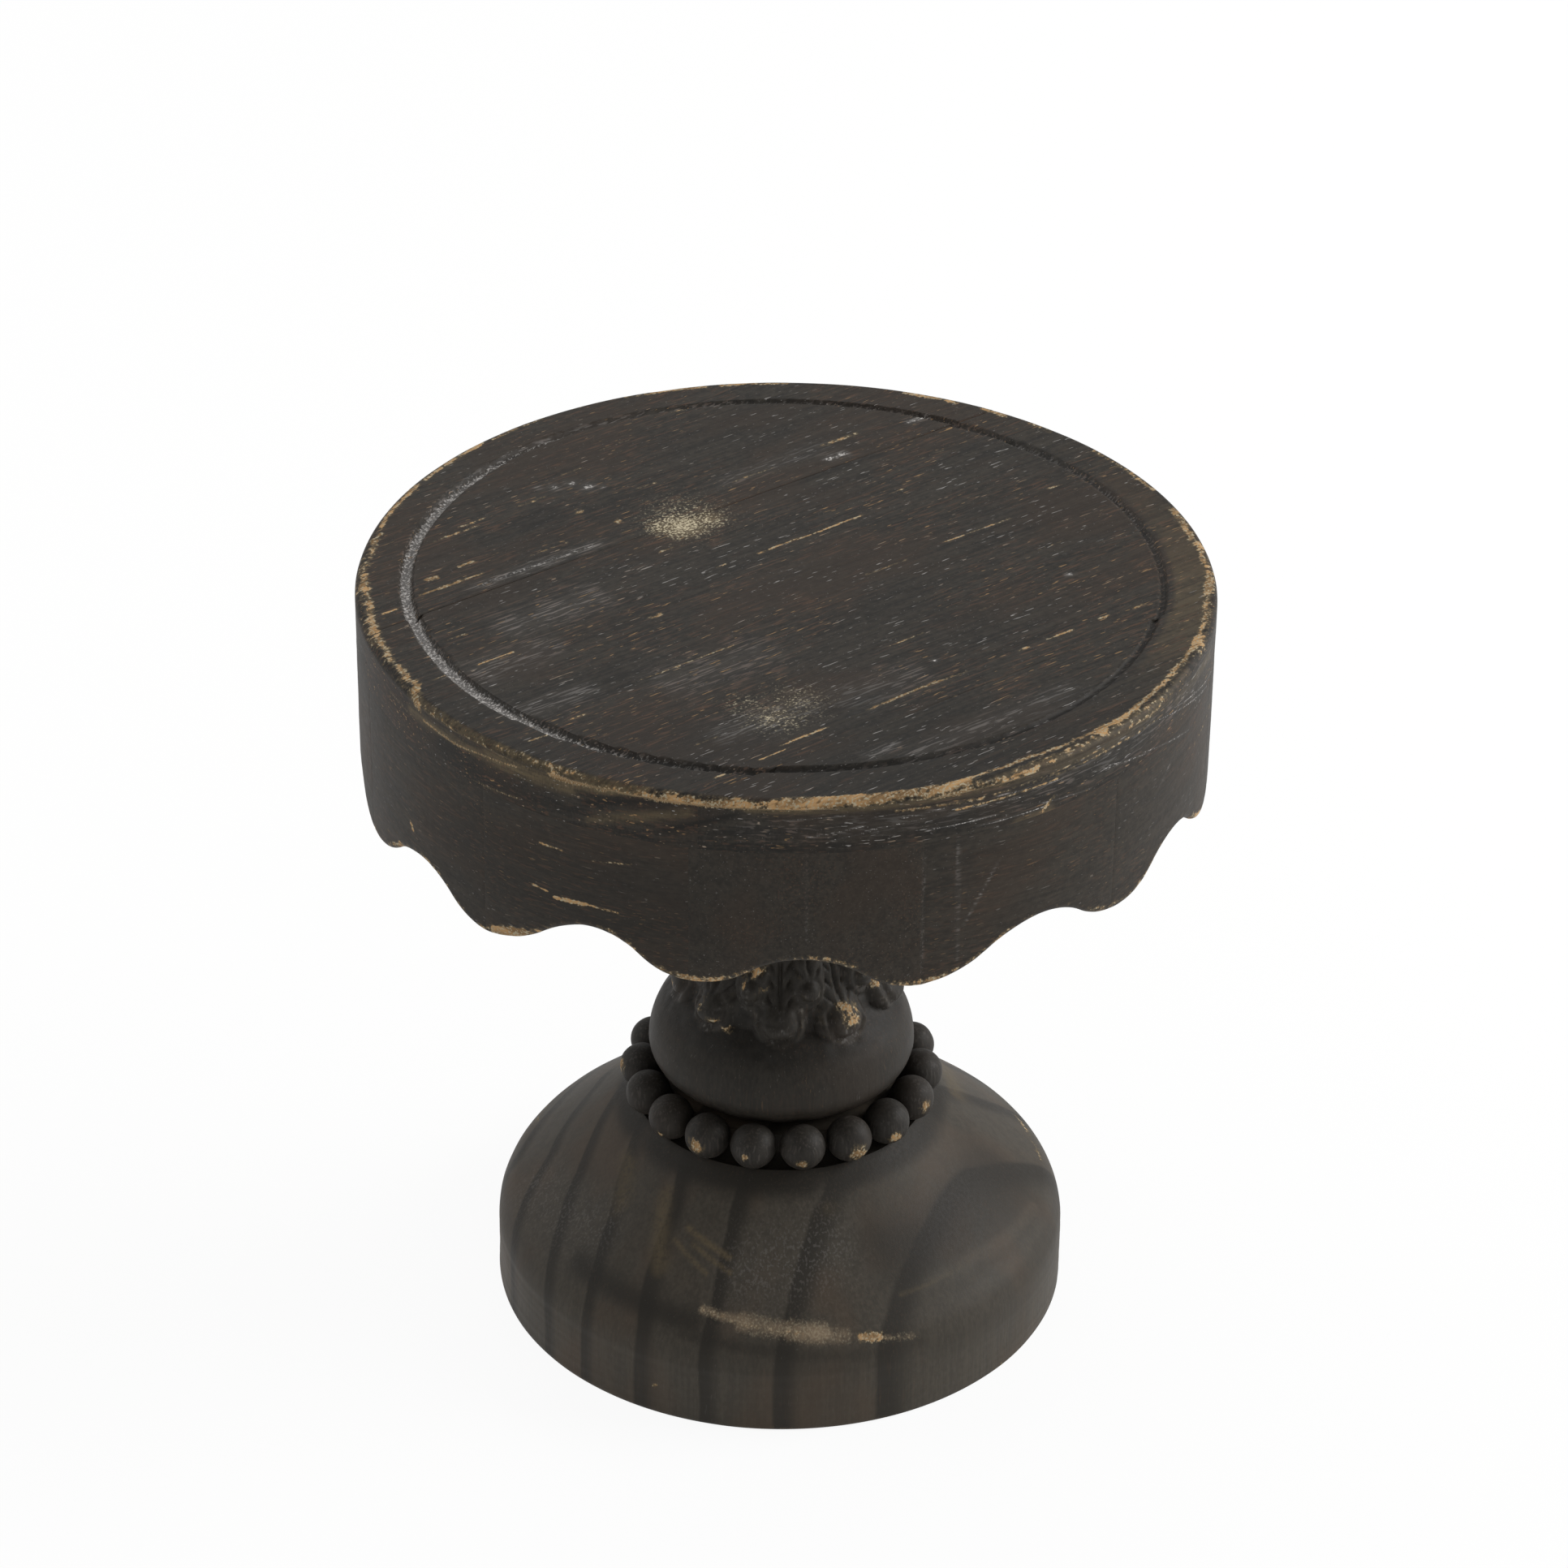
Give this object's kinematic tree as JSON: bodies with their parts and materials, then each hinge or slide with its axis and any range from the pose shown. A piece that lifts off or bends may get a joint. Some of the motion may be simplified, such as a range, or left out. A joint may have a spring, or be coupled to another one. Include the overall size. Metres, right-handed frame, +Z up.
{
  "type": "display riser",
  "caption": "Round pedestal display riser: planked wooden top with a ring groove and scalloped apron on a carved column, bead ring and turned foot, in worn black paint.",
  "frame": {"origin": "middle of the foot's underside, on the surface that the riser stands on", "axes": "+Z up along the turning axis, -Y to the front as in the picture, +X to the viewer's right"},
  "size_m": [0.15, 0.15, 0.1465],
  "materials": {
    "top_paint": "black-brown paint, sanded through along the grain and the rim",
    "apron_paint": "black-brown paint, edges rubbed to bare wood",
    "column_paint": "black-brown paint, carving rubbed to bare wood on its high spots",
    "bead_paint": "black-brown paint with small rubbed spots",
    "foot_paint": "thin black-brown paint that lets the growth rings show",
    "zinc_steel": "plain zinc-plated steel"
  },
  "bodies": {
    "root": {"top_plank_front": "top_paint", "top_plank_middle": "top_paint", "top_plank_back": "top_paint", "apron_segment_01": "apron_paint", "apron_segment_02": "apron_paint", "apron_segment_03": "apron_paint", "apron_segment_04": "apron_paint", "apron_segment_05": "apron_paint", "apron_segment_06": "apron_paint", "apron_segment_07": "apron_paint", "apron_segment_08": "apron_paint", "apron_segment_09": "apron_paint", "apron_segment_10": "apron_paint", "apron_segment_11": "apron_paint", "apron_segment_12": "apron_paint", "column": "column_paint", "bead_01": "bead_paint", "bead_02": "bead_paint", "bead_03": "bead_paint", "bead_04": "bead_paint", "bead_05": "bead_paint", "bead_06": "bead_paint", "bead_07": "bead_paint", "bead_08": "bead_paint", "bead_09": "bead_paint", "bead_10": "bead_paint", "bead_11": "bead_paint", "bead_12": "bead_paint", "bead_13": "bead_paint", "bead_14": "bead_paint", "bead_15": "bead_paint", "bead_16": "bead_paint", "bead_17": "bead_paint", "bead_18": "bead_paint", "foot": "foot_paint", "foot_screw": "zinc_steel", "foot_washer": "zinc_steel", "flange_screws": "zinc_steel"}
  },
  "joints": []
}
